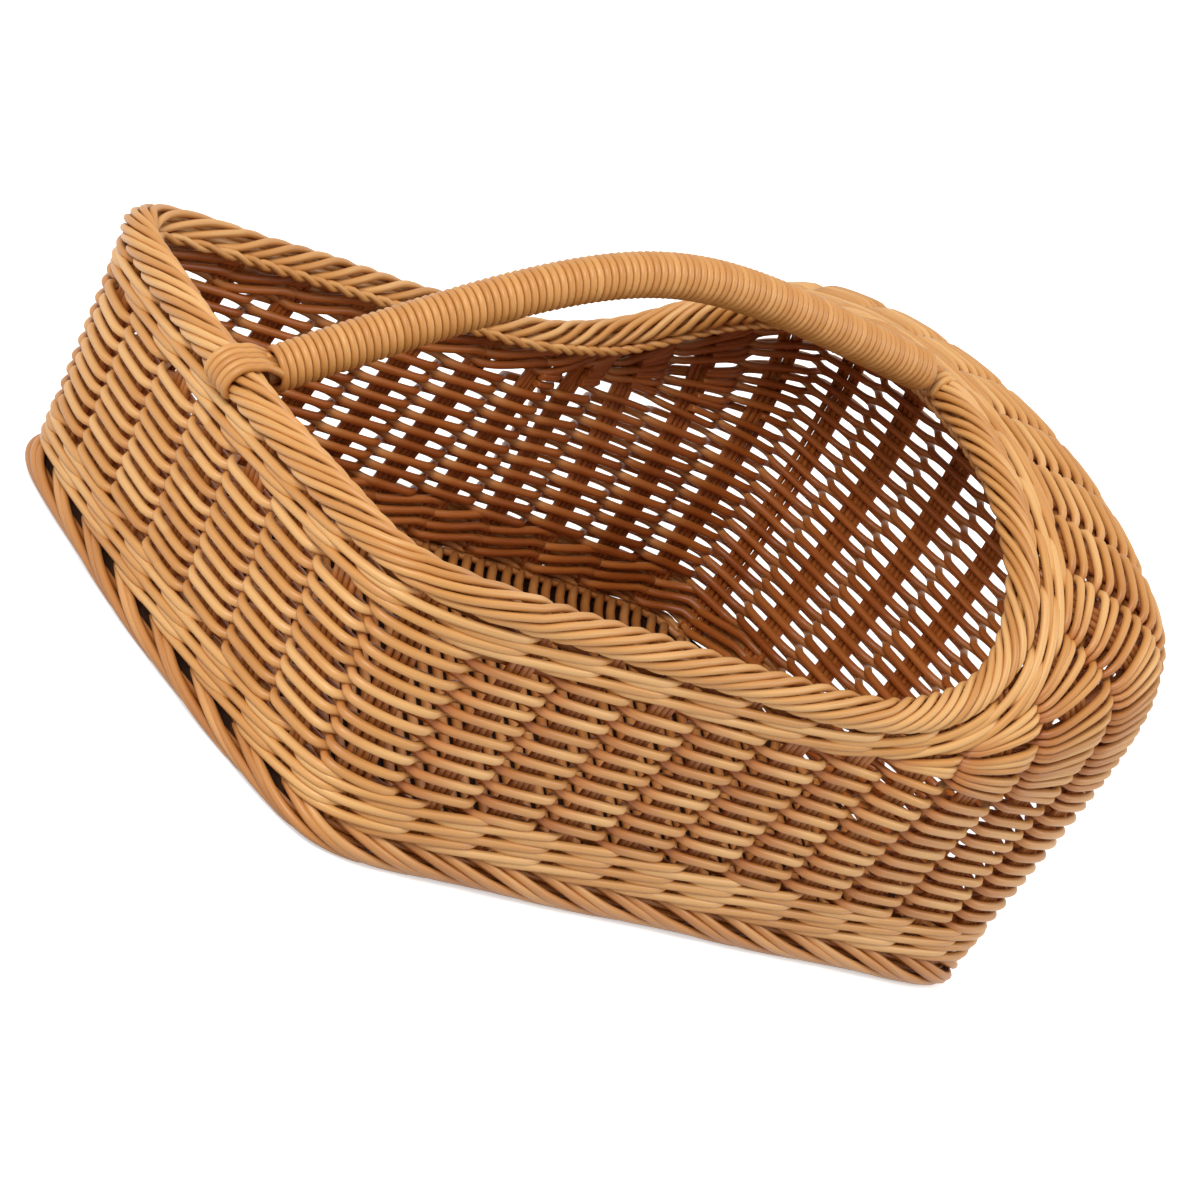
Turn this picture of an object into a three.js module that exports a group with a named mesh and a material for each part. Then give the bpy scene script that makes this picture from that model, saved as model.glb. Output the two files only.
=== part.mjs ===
// Slipper-shaped basket of round woven strand, with a hood over the toe and a wrapped carrying handle.
// Millimetres, +Z up. The heel is at -X, the toe at +X, and the origin is under the middle of the base.
import * as THREE from 'three';

// Base: a squarish oval whose heel and toe ends bow outwards
const BASE_LENGTH = 426;
const BASE_WIDTH = 300;
const BASE_SQUARENESS = 11.5;
const HEEL_BASE_BOW = 14;
const TOE_BASE_BOW = 12;
const BOARD_THICKNESS = 4;
const FLOOR_THICKNESS = 5;
const FLOOR_STRAND_PITCH = 8.1;
const FLOOR_STRAND_SLANT = 30;
const FLOOR_GROOVE = 2.4;
const FLOOR_END_GAP = 14;
const FOOT_BORDER_DIAMETER = 16;

// Rim: low round the heel and sides, arched over the hood
const RIM_HEEL_OVERHANG = 25;
const RIM_TOE_SETBACK = 108;
const RIM_HEEL_NARROWING = 14;
const RIM_TOE_FLARE = 1;
const RIM_SQUARENESS = 10;
const RIM_HEEL_BOW = 12;
const RIM_ARCH_BOW = 10;
const RIM_HEIGHT = 127;
const ARCH_HEIGHT = 228;
const RIM_BORDER_DIAMETER = 15;
const RIM_BRAID_DIAMETER = 5;
const RIM_BRAID_ANGLE = -10;

// Hood: where it springs from the side rim, and how far its shoulder swells
const SIDE_START = 41;
const HINGE_TOE_SETBACK = 176;
const HINGE_LEAN = 18;
const HOOD_FOOT_SWELL = 13;
const HOOD_SHOULDER_RISE = 1.1;
const HOOD_SHOULDER_REACH = 88;
const HOOD_FULL_SHARE = 0.6;

// Weave: each stake is a flat group of rods, and bands of weavers pass outside one stake and inside the next
const STAKES = 36;
const STAKE_WIDTH = 13;
const STAKE_THICKNESS = 3.6;
const STAKE_CROWDING = 0.05;
const BAND_THICKNESS = 3.5;
const BAND_SLACK = 0.5;
const BAND_GAP = 1;
const WALL_INSET = 8;
const BOTTOM_WALE_LIFT = 2;
const BOTTOM_WALE_HEIGHT = 18;
const TOP_WALE_HEIGHT = 10;
const SIDING_BANDS = 5;
const HOOD_BANDS = 4;
const HOOD_BAND_STEPS = 2;
const HOOD_BAND_LEAST = 10;

// Handle: a core wound with one strand, lashed to the rim at both ends
const HANDLE_CORE_DIAMETER = 11.5;
const HANDLE_STRAND_DIAMETER = 4.4;
const HANDLE_STRAND_PITCH = 5.3;
const HANDLE_HEEL_ANGLE = 12;
const HANDLE_HEEL_RUN = 159;
const HANDLE_HEEL_RISE = 121;
const HANDLE_HOOD_ANGLE = 106;
const HANDLE_HOOD_RUN = 183;
const HANDLE_HOOD_RISE = 12;
const LASHING_WIDTH = 20;
const LASHING_THICKNESS = 4.5;
const LASHING_START = 14;
const LASHING_END = 205;

const CLEARANCE = 0.3;

// Facet counts
const OUTLINE_SAMPLES = 480;
const PROFILE_SAMPLES = 48;
const BORDER_SIDES = 6;
const BRAID_SIDES = 4;
const CORE_SIDES = 8;
const CORE_STEPS = 20;
const TURN_STEPS = 8;
const STRAND_SIDES = 4;
const LASHING_STEPS = 10;

// Shared values worked out from the sizes above
const STATIONS = 3 * STAKES;
const BASE_HALF_LENGTH = BASE_LENGTH / 2;
const FOOT_RADIUS = FOOT_BORDER_DIAMETER / 2;
const FOOT_TOP = FOOT_BORDER_DIAMETER * Math.cos(Math.PI / BORDER_SIDES);
const RIM_RADIUS = RIM_BORDER_DIAMETER / 2;
const RIM_UNDERSIDE = RIM_RADIUS * Math.cos(Math.PI / BORDER_SIDES);
const STAKE_HALF = STAKE_THICKNESS / 2;
const WALL_FOOT = FOOT_TOP + CLEARANCE;
const SIDING_START = WALL_FOOT + BOTTOM_WALE_LIFT + BOTTOM_WALE_HEIGHT;
const SIDING_TOP = RIM_HEIGHT - RIM_RADIUS - CLEARANCE - TOP_WALE_HEIGHT;
const WEAVE_REACH = STAKE_HALF + BAND_THICKNESS / 2 + CLEARANCE + BAND_SLACK;
const HINGE_X = BASE_HALF_LENGTH - HINGE_TOE_SETBACK;
const RIM_BACK_X = -BASE_HALF_LENGTH - RIM_HEEL_OVERHANG;
const RIM_FRONT_X = BASE_HALF_LENGTH - RIM_TOE_SETBACK;

const golden = { color: 0xc8934e, roughness: 0.42, metalness: 0 };
const shaded = { color: 0xa86f34, roughness: 0.5, metalness: 0 };
const boardBlack = { color: 0x2b2522, roughness: 0.7, metalness: 0 };

const basket = new THREE.Group();

function addPiece(name, geometry, finish) {
  const piece = new THREE.Mesh(geometry, new THREE.MeshStandardMaterial(finish));
  piece.name = name;
  basket.add(piece);
}

const radians = THREE.MathUtils.degToRad;
const along = (start, direction, distance) => start.clone().addScaledVector(direction, distance);

// A closed solid through a row of rings with equal point counts. The ends are closed rung by rung,
// pairing each point with the one opposite, which suits round sections and thin strips alike.
function sweep(rings, closed) {
  const size = rings[0].length;
  const corners = [];
  const spans = closed ? rings.length : rings.length - 1;
  for (let i = 0; i < spans; i++) {
    const here = i * size;
    const next = ((i + 1) % rings.length) * size;
    for (let j = 0; j < size; j++) {
      const k = (j + 1) % size;
      corners.push([here + j, here + k, next + j], [here + k, next + k, next + j]);
    }
  }
  if (!closed) {
    const last = (rings.length - 1) * size;
    for (let j = 0; j < size - 1 - j; j++) {
      const opposite = size - 1 - j;
      const rung = [[j, opposite, j + 1]];
      if (j + 1 < opposite - 1) rung.push([j + 1, opposite, opposite - 1]);
      for (const [a, b, c] of rung) corners.push([a, b, c], [last + a, last + c, last + b]);
    }
  }
  const points = rings.flat();
  let volume = 0;
  for (const [a, b, c] of corners) {
    volume += points[a].dot(points[b].clone().cross(points[c]));
  }
  const outward = volume > 0 ? corners : corners.map(([a, b, c]) => [a, c, b]);
  const geometry = new THREE.BufferGeometry().setFromPoints(points);
  geometry.setIndex(outward.flat());
  geometry.computeVertexNormals();
  return geometry;
}

// A regular polygon ring around a centre, spanned by two perpendicular directions
function ring(centre, right, up, radius, sides, turn) {
  const points = [];
  for (let j = 0; j < sides; j++) {
    const angle = turn + (2 * Math.PI * j) / sides;
    const point = along(centre, right, radius * Math.cos(angle));
    points.push(point.addScaledVector(up, radius * Math.sin(angle)));
  }
  return points;
}

// Half outlines run from the middle of the heel, along the -Y side, to the middle of the toe
function squareOval(angle, squareness) {
  const c = Math.cos(angle);
  const s = Math.sin(angle);
  const size = (Math.abs(c) ** squareness + Math.abs(s) ** squareness) ** (-1 / squareness);
  return [c * size, s * size];
}

function basePoint(angle) {
  const [c, s] = squareOval(angle, BASE_SQUARENESS);
  const bow = (c < 0 ? -HEEL_BASE_BOW : TOE_BASE_BOW) * (1 - s * s);
  return new THREE.Vector3(BASE_HALF_LENGTH * c + bow, (BASE_WIDTH / 2) * s, 0);
}

function rimPoint(angle) {
  const [c, s] = squareOval(angle, RIM_SQUARENESS);
  const bow = (c < 0 ? -RIM_HEEL_BOW : RIM_ARCH_BOW) * (1 - s * s);
  const middle = (RIM_FRONT_X + RIM_BACK_X) / 2;
  const reach = (RIM_FRONT_X - RIM_BACK_X) / 2;
  const taper = (1 + c) / 2;
  const halfWidth = BASE_WIDTH / 2 - RIM_HEEL_NARROWING * (1 - taper) + RIM_TOE_FLARE * taper;
  const arch = c > 0 ? Math.sqrt(Math.max(0, 1 - s * s)) : 0;
  const height = RIM_HEIGHT + (ARCH_HEIGHT - RIM_HEIGHT) * arch;
  return new THREE.Vector3(middle + reach * c + bow, halfWidth * s, height);
}

// A polyline that can be read by the distance along it
class Rail {
  constructor(points) {
    this.points = points;
    this.distances = [0];
    for (let i = 1; i < points.length; i++) {
      this.distances.push(this.distances[i - 1] + points[i].distanceTo(points[i - 1]));
    }
    this.length = this.distances[points.length - 1];
  }

  segment(distance) {
    let i = 1;
    while (i < this.points.length - 1 && this.distances[i] < distance) i++;
    return i;
  }

  at(distance) {
    const i = this.segment(distance);
    const span = this.distances[i] - this.distances[i - 1];
    const share = (distance - this.distances[i - 1]) / span;
    return this.points[i - 1].clone().lerp(this.points[i], share);
  }

  // Distance at which a coordinate that grows along the rail first reaches a value, from a start
  reach(axis, value, start = 0) {
    let i = this.segment(start);
    while (i < this.points.length - 1 && this.points[i][axis] < value) i++;
    const before = this.points[i - 1][axis];
    const share = (value - before) / (this.points[i][axis] - before);
    return this.distances[i - 1] + share * (this.distances[i] - this.distances[i - 1]);
  }
}

function halfRail(pointAt) {
  const points = [];
  for (let i = 0; i <= OUTLINE_SAMPLES; i++) {
    points.push(pointAt(Math.PI * (1 + i / OUTLINE_SAMPLES)));
  }
  return new Rail(points);
}

const baseRail = halfRail(basePoint);
const rimRail = halfRail(rimPoint);

// Places on both rails that one stake joins: heel middle, heel corner, start of the side, hinge, toe
const corner = Math.round(OUTLINE_SAMPLES / 4);
const baseMarks = [
  0,
  baseRail.distances[corner],
  baseRail.reach('x', -BASE_HALF_LENGTH + SIDE_START, baseRail.distances[corner]),
  baseRail.reach('x', HINGE_X - HINGE_LEAN, baseRail.distances[corner]),
  baseRail.length,
];
const rimMarks = [
  0,
  rimRail.distances[corner],
  rimRail.reach('x', -BASE_HALF_LENGTH + SIDE_START, rimRail.distances[corner]),
  rimRail.reach('x', HINGE_X, rimRail.distances[corner]),
  rimRail.length,
];

function rimDistance(baseDistance) {
  let i = 1;
  while (i < baseMarks.length - 1 && baseMarks[i] < baseDistance) i++;
  const share = (baseDistance - baseMarks[i - 1]) / (baseMarks[i] - baseMarks[i - 1]);
  return rimMarks[i - 1] + share * (rimMarks[i] - rimMarks[i - 1]);
}

// Distance round the base outline, from the middle of the heel, to the middle of a stake.
// The stakes stand a little closer together at the heel than at the toe.
function stakeDistance(stake) {
  if (stake > STAKES / 2) return 2 * baseRail.length - stakeDistance(STAKES - stake);
  const share = stake / (STAKES / 2);
  return baseRail.length * (share - STAKE_CROWDING * share * (1 - share));
}

// Three stations to a stake: its far edge, the middle of the gap to the next stake, that stake's near edge
function stationDistance(index) {
  const stake = Math.floor(index / 3);
  const farEdge = stakeDistance(stake) + STAKE_WIDTH / 2;
  const nearEdge = stakeDistance(stake + 1) - STAKE_WIDTH / 2;
  return [farEdge, (farEdge + nearEdge) / 2, nearEdge][index % 3];
}

// One station: the base outline there, the rim above it, and the profile of the wall between
function makeStation(index) {
  const mirrored = stationDistance(index) > baseRail.length;
  const distance = mirrored ? 2 * baseRail.length - stationDistance(index) : stationDistance(index);
  const flip = new THREE.Vector3(1, mirrored ? -1 : 1, 1);
  const edge = baseRail.at(distance);
  const direction = baseRail.at(distance + 1).sub(baseRail.at(distance - 1)).normalize();
  const outward = new THREE.Vector3(direction.y, -direction.x, 0);
  const foot = along(edge, outward, -WALL_INSET).setZ(WALL_FOOT);
  const rim = rimRail.at(rimDistance(distance));

  const hinge = baseMarks[3];
  const toeShare = THREE.MathUtils.clamp((distance - hinge) / (baseRail.length - hinge), 0, 1);
  const fullness = THREE.MathUtils.smoothstep(toeShare, 0, HOOD_FULL_SHARE);
  const away = new THREE.Vector3(foot.x - HINGE_X, foot.y, 0).normalize();
  const shoulderHeight = WALL_FOOT + (rim.z - WALL_FOOT) * HOOD_SHOULDER_RISE;
  const swollenFoot = along(foot, away, HOOD_FOOT_SWELL).setZ(shoulderHeight);
  const shoulder = along(rim, away, HOOD_SHOULDER_REACH);
  const lower = foot.clone().lerp(rim, 1 / 3).lerp(swollenFoot, fullness);
  const upper = foot.clone().lerp(rim, 2 / 3).lerp(shoulder, fullness);
  const curve = new THREE.CubicBezierCurve3(foot, lower, upper, rim);
  const points = curve.getPoints(PROFILE_SAMPLES).map((point) => point.multiply(flip));
  const profile = new Rail(points);
  return { edge: edge.multiply(flip), outward: outward.multiply(flip), profile, curved: fullness > 0 };
}

const stations = [];
for (let i = 0; i < STATIONS; i++) stations.push(makeStation(i));

const neighbour = (index, step) => stations[(index + step + STATIONS) % STATIONS];

// A point of the woven wall at one station, with the outward normal there
function wallAt(index, distance) {
  const profile = stations[index].profile;
  const share = distance / profile.length;
  const ahead = neighbour(index, 1).profile;
  const behind = neighbour(index, -1).profile;
  const round = ahead.at(share * ahead.length).sub(behind.at(share * behind.length));
  const climb = profile.at(distance + 1).sub(profile.at(distance - 1));
  const normal = round.cross(climb).normalize();
  climb.normalize();
  return { point: profile.at(distance), normal, climb };
}

// Rim frames: across the border, outwards and up along the wall
const rimFrames = stations.map((station, index) => {
  const { climb } = wallAt(index, station.profile.length - 1);
  const centre = station.profile.at(station.profile.length);
  const ahead = neighbour(index, 1).profile;
  const behind = neighbour(index, -1).profile;
  const round = ahead.at(ahead.length).sub(behind.at(behind.length)).normalize();
  const slant = climb.dot(round);
  const up = along(climb, round, -slant).normalize();
  const outward = round.clone().cross(up).normalize();
  return { centre, outward, up, slant };
});

// Distances up each station at which the bands of the weave begin and end
const levels = stations.map((station, index) => {
  const { slant } = rimFrames[index];
  const square = Math.sqrt(1 - slant * slant);
  const top = station.profile.length
    - (RIM_UNDERSIDE + CLEARANCE + STAKE_HALF * Math.abs(slant)) / square;
  const topWale = top - TOP_WALE_HEIGHT / square;
  const atHeight = (height) => Math.min(station.profile.reach('z', height), topWale);
  const siding = [];
  for (let i = 0; i <= SIDING_BANDS; i++) {
    siding.push(atHeight(SIDING_START + ((SIDING_TOP - SIDING_START) * i) / SIDING_BANDS));
  }
  const hoodHeight = topWale - siding[SIDING_BANDS];
  const hasHood = hoodHeight > HOOD_BAND_LEAST;
  if (!hasHood) siding[SIDING_BANDS] = topWale;
  const hood = [];
  const hoodSteps = HOOD_BANDS * HOOD_BAND_STEPS;
  for (let i = 0; i <= hoodSteps; i++) hood.push(siding[SIDING_BANDS] + (hoodHeight * i) / hoodSteps);
  return { siding, hood, hasHood, topWale, top };
});

// A thin band of weavers between levels of the wall, outside one stake and inside the next
function weaverBand(indices, levelsAt, phase, closed) {
  const rings = indices.map((index) => {
    const stake = Math.floor((index + 1) / 3);
    const side = (stake + phase) % 2 === 0 ? 1 : -1;
    const offset = index % 3 === 1 ? 0 : side * WEAVE_REACH;
    const marks = levelsAt(levels[index]).slice();
    marks[0] += BAND_GAP / 2;
    marks[marks.length - 1] -= BAND_GAP / 2;
    const places = marks.map((mark) => wallAt(index, mark));
    const face = (depth) => places.map(({ point, normal }) => along(point, normal, offset + depth));
    return [...face(BAND_THICKNESS / 2), ...face(-BAND_THICKNESS / 2).reverse()];
  });
  return sweep(rings, closed);
}

const allStations = stations.map((station, index) => index);
const hoodStations = allStations.filter((index) => levels[index].hasHood);

// Base: board, floor mat and the foot border that the basket stands on
function plate(inset, bottom, thickness) {
  const outline = stations.map(({ edge, outward }) => along(edge, outward, -inset));
  const faces = [bottom, bottom + thickness];
  return sweep(faces.map((height) => outline.map((point) => point.clone().setZ(height))), false);
}

const boardInset = FOOT_BORDER_DIAMETER + CLEARANCE;
addPiece('base_board', plate(boardInset, 0, BOARD_THICKNESS), boardBlack);

// The two ends of a straight line across the outline, at a distance from the middle
function chord(outline, measure, offset) {
  const ends = [];
  outline.forEach((point, i) => {
    const next = outline[(i + 1) % outline.length];
    const [before, after] = [point.dot(measure) - offset, next.dot(measure) - offset];
    if (before < 0 !== after < 0) ends.push(point.clone().lerp(next, before / (before - after)));
  });
  return ends.sort((first, second) => first.y - second.y);
}

// Floor mat: strands laid slantwise side by side on the board, as one sheet with a rib for each strand
function floorSheet(bottom) {
  const outline = stations.map(({ edge, outward }) => along(edge, outward, -boardInset));
  const slant = THREE.MathUtils.degToRad(FLOOR_STRAND_SLANT);
  const acrossStrands = new THREE.Vector3(Math.cos(slant), -Math.sin(slant), 0);
  const places = outline.map((point) => point.dot(acrossStrands));
  const reach = Math.min(Math.max(...places), -Math.min(...places)) - FLOOR_END_GAP;
  const strands = Math.floor((2 * reach) / FLOOR_STRAND_PITCH);
  const rings = [];
  for (let i = 0; i <= 2 * strands; i++) {
    const [near, far] = chord(outline, acrossStrands, ((i - strands) * FLOOR_STRAND_PITCH) / 2);
    const top = bottom + FLOOR_THICKNESS - (i % 2 === 0 ? FLOOR_GROOVE : 0);
    const corners = [[near, bottom], [far, bottom], [far, top], [near, top]];
    rings.push(corners.map(([end, z]) => end.clone().setZ(z)));
  }
  return sweep(rings, false);
}
addPiece('floor_mat', floorSheet(BOARD_THICKNESS + CLEARANCE), shaded);

const vertical = new THREE.Vector3(0, 0, 1);
const footRings = stations.map(({ edge, outward }) => {
  const centre = along(edge, outward, -FOOT_RADIUS).setZ(FOOT_TOP / 2);
  return ring(centre, outward, vertical, FOOT_RADIUS, BORDER_SIDES, 0);
});
addPiece('foot_border', sweep(footRings, true), golden);

// Stakes: flat upright groups of rods from the foot border, where they are cut level, to the rim border
for (let i = 0; i < STAKES; i++) {
  const edges = [(3 * i - 1 + STATIONS) % STATIONS, 3 * i];
  const hooded = edges.every((index) => levels[index].hasHood);
  const [near, far] = edges.map((index) => {
    const { siding, hood, top } = levels[index];
    const sidingMarks = stations[index].curved ? siding : [siding[SIDING_BANDS]];
    const marks = [0, ...sidingMarks, ...(hooded ? hood.slice(1) : []), top];
    return marks.map((mark) => wallAt(index, mark));
  });
  const rings = near.map((place, level) => [
    along(place.point, place.normal, -STAKE_HALF),
    along(far[level].point, far[level].normal, -STAKE_HALF),
    along(far[level].point, far[level].normal, STAKE_HALF),
    along(place.point, place.normal, STAKE_HALF),
  ]);
  rings[0].forEach((corner) => corner.setZ(WALL_FOOT));
  addPiece(`stake_${String(i + 1).padStart(2, '0')}`, sweep(rings, false), shaded);
}

// Weave: bottom wale, bands of siding, hood bands and top wale
const lowest = ({ siding }) => [BOTTOM_WALE_LIFT, siding[0]];
addPiece('bottom_wale', weaverBand(allStations, lowest, 1, true), golden);
for (let i = 0; i < SIDING_BANDS; i++) {
  const band = weaverBand(allStations, ({ siding }) => [siding[i], siding[i + 1]], i, true);
  addPiece(`siding_band_${i + 1}`, band, golden);
}
for (let i = 0; i < HOOD_BANDS; i++) {
  const first = i * HOOD_BAND_STEPS;
  const fan = ({ hood }) => hood.slice(first, first + HOOD_BAND_STEPS + 1);
  const band = weaverBand(hoodStations, fan, SIDING_BANDS + i, false);
  addPiece(`hood_band_${i + 1}`, band, golden);
}
const topPhase = SIDING_BANDS + HOOD_BANDS;
addPiece('top_wale', weaverBand(allStations, ({ topWale, top }) => [topWale, top], topPhase, true), golden);

// Rim: a rolled border on the stake ends, with a thin plaited line along its inner edge
const borderRings = rimFrames.map(({ centre, outward, up }) => (
  ring(centre, outward, up, RIM_RADIUS, BORDER_SIDES, 0)
));
addPiece('rim_border', sweep(borderRings, true), golden);

const braidReach = RIM_RADIUS + CLEARANCE + RIM_BRAID_DIAMETER / 2;
const braidRings = rimFrames.map(({ centre, outward, up }) => {
  const inward = -Math.cos(radians(RIM_BRAID_ANGLE)) * braidReach;
  const middle = along(centre, outward, inward);
  middle.addScaledVector(up, Math.sin(radians(RIM_BRAID_ANGLE)) * braidReach);
  return ring(middle, outward, up, RIM_BRAID_DIAMETER / 2, BRAID_SIDES, 0);
});
addPiece('rim_braid', sweep(braidRings, true), golden);

// Handle ends: in each rim frame, 0 degrees points into the basket and 90 up along the wall
const heelRim = rimPoint(Math.PI);
const archTop = rimPoint(2 * Math.PI);
const lengthwise = ({ x, z }) => new THREE.Vector3(x, 0, z).normalize();
const heelInside = lengthwise(rimFrames[0].outward).negate();
const heelUp = lengthwise(rimFrames[0].up);
const archInside = lengthwise(rimFrames[STATIONS / 2].outward).negate();
const archUp = lengthwise(rimFrames[STATIONS / 2].up);

function aroundRim(centre, inside, up, degrees, reach) {
  const point = along(centre, inside, Math.cos(radians(degrees)) * reach);
  return point.addScaledVector(up, Math.sin(radians(degrees)) * reach);
}

const lashingInner = (RIM_RADIUS + CLEARANCE)
  / Math.cos(radians((LASHING_END - LASHING_START) / LASHING_STEPS / 2));
const lashingOuter = lashingInner + LASHING_THICKNESS;

function lashing(centre, inside, up) {
  const rings = [];
  for (let i = 0; i <= LASHING_STEPS; i++) {
    const degrees = LASHING_START + ((LASHING_END - LASHING_START) * i) / LASHING_STEPS;
    const inner = aroundRim(centre, inside, up, degrees, lashingInner);
    const outer = aroundRim(centre, inside, up, degrees, lashingOuter);
    const half = new THREE.Vector3(0, LASHING_WIDTH / 2, 0);
    rings.push([
      inner.clone().sub(half), inner.clone().add(half),
      outer.clone().add(half), outer.clone().sub(half),
    ]);
  }
  return sweep(rings, false);
}

addPiece('heel_lashing', lashing(heelRim, heelInside, heelUp), golden);
addPiece('hood_lashing', lashing(archTop, archInside, archUp), golden);

const seat = lashingOuter + CLEARANCE;
const heelEnd = aroundRim(heelRim, heelInside, heelUp, HANDLE_HEEL_ANGLE, seat);
const hoodEnd = aroundRim(archTop, archInside, archUp, HANDLE_HOOD_ANGLE, seat);
const handleCurve = new THREE.CubicBezierCurve3(
  heelEnd,
  new THREE.Vector3(heelEnd.x + HANDLE_HEEL_RUN, 0, heelEnd.z + HANDLE_HEEL_RISE),
  new THREE.Vector3(hoodEnd.x - HANDLE_HOOD_RUN, 0, hoodEnd.z + HANDLE_HOOD_RISE),
  hoodEnd,
);
const sideways = new THREE.Vector3(0, 1, 0);

function handleFrame(share) {
  const centre = handleCurve.getPointAt(share);
  const tangent = handleCurve.getTangentAt(share);
  return { centre, tangent, over: tangent.clone().cross(sideways).negate() };
}

const coreRings = [];
for (let i = 0; i <= CORE_STEPS; i++) {
  const { centre, over } = handleFrame(i / CORE_STEPS);
  coreRings.push(ring(centre, over, sideways, HANDLE_CORE_DIAMETER / 2, CORE_SIDES, 0));
}
addPiece('handle_core', sweep(coreRings, false), shaded);

// The winding is one strand that starts and ends one core diameter from the lashings
const handleLength = handleCurve.getLength();
const windingMargin = HANDLE_CORE_DIAMETER / handleLength;
const turns = Math.floor((handleLength - 2 * HANDLE_CORE_DIAMETER) / HANDLE_STRAND_PITCH);
const windingReach = HANDLE_CORE_DIAMETER / 2 + CLEARANCE + HANDLE_STRAND_DIAMETER / 2;
const windingPoints = [];
const windingOut = [];
for (let i = 0; i <= turns * TURN_STEPS; i++) {
  const share = windingMargin + (1 - 2 * windingMargin) * (i / (turns * TURN_STEPS));
  const { centre, over } = handleFrame(share);
  const angle = (2 * Math.PI * i) / TURN_STEPS;
  const out = over.multiplyScalar(Math.cos(angle)).addScaledVector(sideways, Math.sin(angle));
  windingOut.push(out);
  windingPoints.push(along(centre, out, windingReach / Math.cos(Math.PI / TURN_STEPS)));
}
const strandEnd = (end, before) => along(end, end.clone().sub(before).normalize(), HANDLE_STRAND_DIAMETER);
const lastPoint = windingPoints.length - 1;
const windingPath = [
  strandEnd(windingPoints[0], windingPoints[1]),
  ...windingPoints,
  strandEnd(windingPoints[lastPoint], windingPoints[lastPoint - 1]),
];
const windingRings = windingPath.map((point, i) => {
  const before = windingPath[Math.max(0, i - 1)];
  const after = windingPath[Math.min(windingPath.length - 1, i + 1)];
  const out = windingOut[THREE.MathUtils.clamp(i - 1, 0, lastPoint)];
  const side = after.clone().sub(before).cross(out).normalize();
  return ring(point, out, side, HANDLE_STRAND_DIAMETER / 2, STRAND_SIDES, Math.PI);
});
addPiece('handle_wrap', sweep(windingRings, false), golden);

let leastGap = Infinity;
for (let i = 0; i < windingPath.length; i++) {
  for (let j = i + TURN_STEPS / 2; j < Math.min(windingPath.length, i + 2 * TURN_STEPS); j++) {
    leastGap = Math.min(leastGap, windingPath[i].distanceTo(windingPath[j]) - HANDLE_STRAND_DIAMETER);
  }
}
console.log(`handle wrap: ${turns} turns, least gap to itself ${leastGap.toFixed(2)} mm`);

export default basket;
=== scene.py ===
"""Slipper-shaped basket of round synthetic rattan, dressed strand by strand over its CAD frame."""

import bpy
import numpy as np
from mathutils import Matrix


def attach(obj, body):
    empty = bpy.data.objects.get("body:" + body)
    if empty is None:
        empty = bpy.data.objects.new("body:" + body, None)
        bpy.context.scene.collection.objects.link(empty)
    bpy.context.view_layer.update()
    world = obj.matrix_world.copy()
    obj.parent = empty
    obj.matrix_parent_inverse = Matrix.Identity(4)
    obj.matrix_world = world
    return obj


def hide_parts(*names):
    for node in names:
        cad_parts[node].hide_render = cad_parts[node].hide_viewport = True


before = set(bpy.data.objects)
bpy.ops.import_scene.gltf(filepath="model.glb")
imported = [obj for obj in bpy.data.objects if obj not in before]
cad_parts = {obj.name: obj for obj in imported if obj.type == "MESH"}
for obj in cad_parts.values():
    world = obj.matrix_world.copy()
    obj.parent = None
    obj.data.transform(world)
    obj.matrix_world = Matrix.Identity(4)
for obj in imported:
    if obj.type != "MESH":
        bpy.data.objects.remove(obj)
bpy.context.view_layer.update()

# ---------------------------------------------------------------- Base board
# The base is a dark board cut to the outline of the basket. Its edge reaches under the
# wall, where the stakes are set into it, and shows as dark gaps above the foot border.
# All sizes are millimetres; the origin is under the middle of the base, heel at -X.
BASE_HALF_LENGTH = 213
BASE_HALF_WIDTH = 150
BASE_SQUARENESS = 11.5
OUTLINE_POINTS = 2001
HEEL_BASE_BOW = 14
TOE_BASE_BOW = 12
BOARD_EDGE_POINTS = 360
BOARD_EDGE_BOTTOM = 9.6
BOARD_EDGE_TOP = 13.4
BOARD_EDGE_REACH = 6
BOARD_EDGE_SIDE_SETBACK = 3
BOARD_EDGE_SIDE_DROP = 4.5
BOARD_FLAT_INSET = 18.5
BOARD_FLAT_BOTTOM = 0.6
BOARD_FLAT_TOP = 3.4
BOARD_FIBRE = 3.85
MM = 0.001


def square_oval(angle, squareness):
    c, s = np.cos(angle), np.sin(angle)
    size = (np.abs(c) ** squareness + np.abs(s) ** squareness) ** (-1 / squareness)
    return c * size, s * size


def distances(points):
    steps = np.linalg.norm(np.diff(points, axis=0), axis=1)
    return np.concatenate([[0], np.cumsum(steps)])


def unit(vectors):
    return vectors / np.maximum(np.linalg.norm(vectors, axis=-1, keepdims=True), 1e-9)


# The -Y half of the outline, from the middle of the heel to the middle of the toe
half_turn = np.pi * (1 + np.linspace(0, 1, OUTLINE_POINTS))
c, s = square_oval(half_turn, BASE_SQUARENESS)
base_half = np.stack([
    BASE_HALF_LENGTH * c + np.where(c < 0, -HEEL_BASE_BOW, TOE_BASE_BOW) * (1 - s * s),
    BASE_HALF_WIDTH * s,
    0 * s,
], axis=1)
base_reach = distances(base_half)
base_length = base_reach[-1]


def read_half(points, reach, distance):
    return np.stack([np.interp(distance, reach, points[:, i]) for i in range(3)], axis=-1)


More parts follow.
